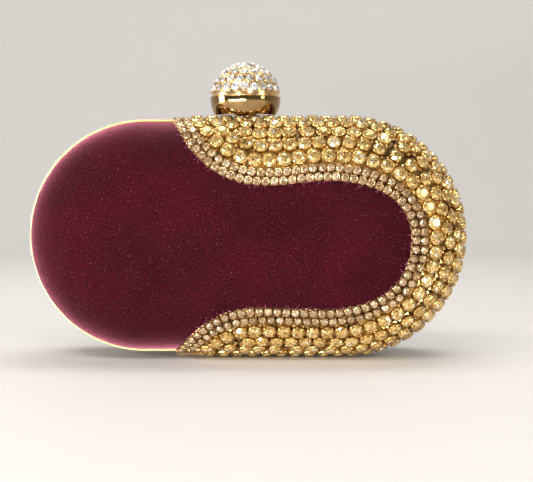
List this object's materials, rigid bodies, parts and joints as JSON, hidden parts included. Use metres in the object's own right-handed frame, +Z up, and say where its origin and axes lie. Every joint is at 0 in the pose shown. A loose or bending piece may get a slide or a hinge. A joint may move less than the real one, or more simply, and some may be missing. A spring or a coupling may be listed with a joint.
{
  "type": "clutch purse",
  "caption": "Hard-case evening clutch: a stadium-shaped, padded velvet box hinged along its bottom, with a stone trim round one end and a ball clasp on top.",
  "frame": {"origin": "on the surface that the case stands on, under the middle of the seam between the two halves", "axes": "+X to the right along the case, seen from its front; +Y towards the back half; +Z up, towards the ball clasp"},
  "size_m": [0.1918, 0.0587, 0.129],
  "materials": {
    "velvet": "velvet nap",
    "foam": "matte",
    "shell": "matte",
    "satin": "satin",
    "gold": "polished, gold plated",
    "steel": "polished",
    "spring_steel": "drawn wire",
    "topaz": "faceted, foil backed",
    "champagne": "faceted, foil backed",
    "crystal": "faceted, foil backed"
  },
  "bodies": {
    "back_half": {"back_velvet": "velvet", "back_padding": "foam", "back_shell": "shell", "back_lining": "satin", "slip_pocket": "satin", "back_frame": "gold", "back_hinge_leaf": "gold", "back_leaf_rivets": "gold", "hinge_pin": "steel", "clasp_bracket": "gold", "bracket_screws": "gold", "clasp_pivot_pin": "steel", "clasp_spring": "spring_steel", "chain_loop_left": "gold", "chain_loop_right": "gold"},
    "front_half": {"front_velvet": "velvet", "front_padding": "foam", "front_shell": "shell", "front_lining": "satin", "front_frame": "gold", "front_hinge_leaf": "gold", "front_leaf_rivets": "gold", "clasp_striker": "gold", "striker_screws": "gold", "foot_cups": "gold", "edge_cups": "gold", "large_cups": "gold", "small_cups": "gold", "foot_stones": "topaz", "edge_stones": "topaz", "large_stones": "topaz", "small_stones": "champagne"},
    "clasp": {"clasp_lever": "gold", "ball_base_cup": "gold", "ball_rim_ring": "gold", "ball_dome": "gold", "ball_screw": "steel", "ball_bezels": "gold", "ball_crystals": "crystal"}
  },
  "joints": [
    {"name": "lid_open", "type": "hinge", "parent": "back_half", "child": "front_half", "pos_m": [0, 0, 0.0019], "axis": [1, 0, 0], "range_deg": [0, 95]},
    {"name": "clasp_tilt", "type": "hinge", "parent": "back_half", "child": "clasp", "pos_m": [0, 0, 0.0934], "axis": [-1, 0, 0], "range_deg": [0, 5], "stiffness_Nm_per_rad": 0.3}
  ]
}
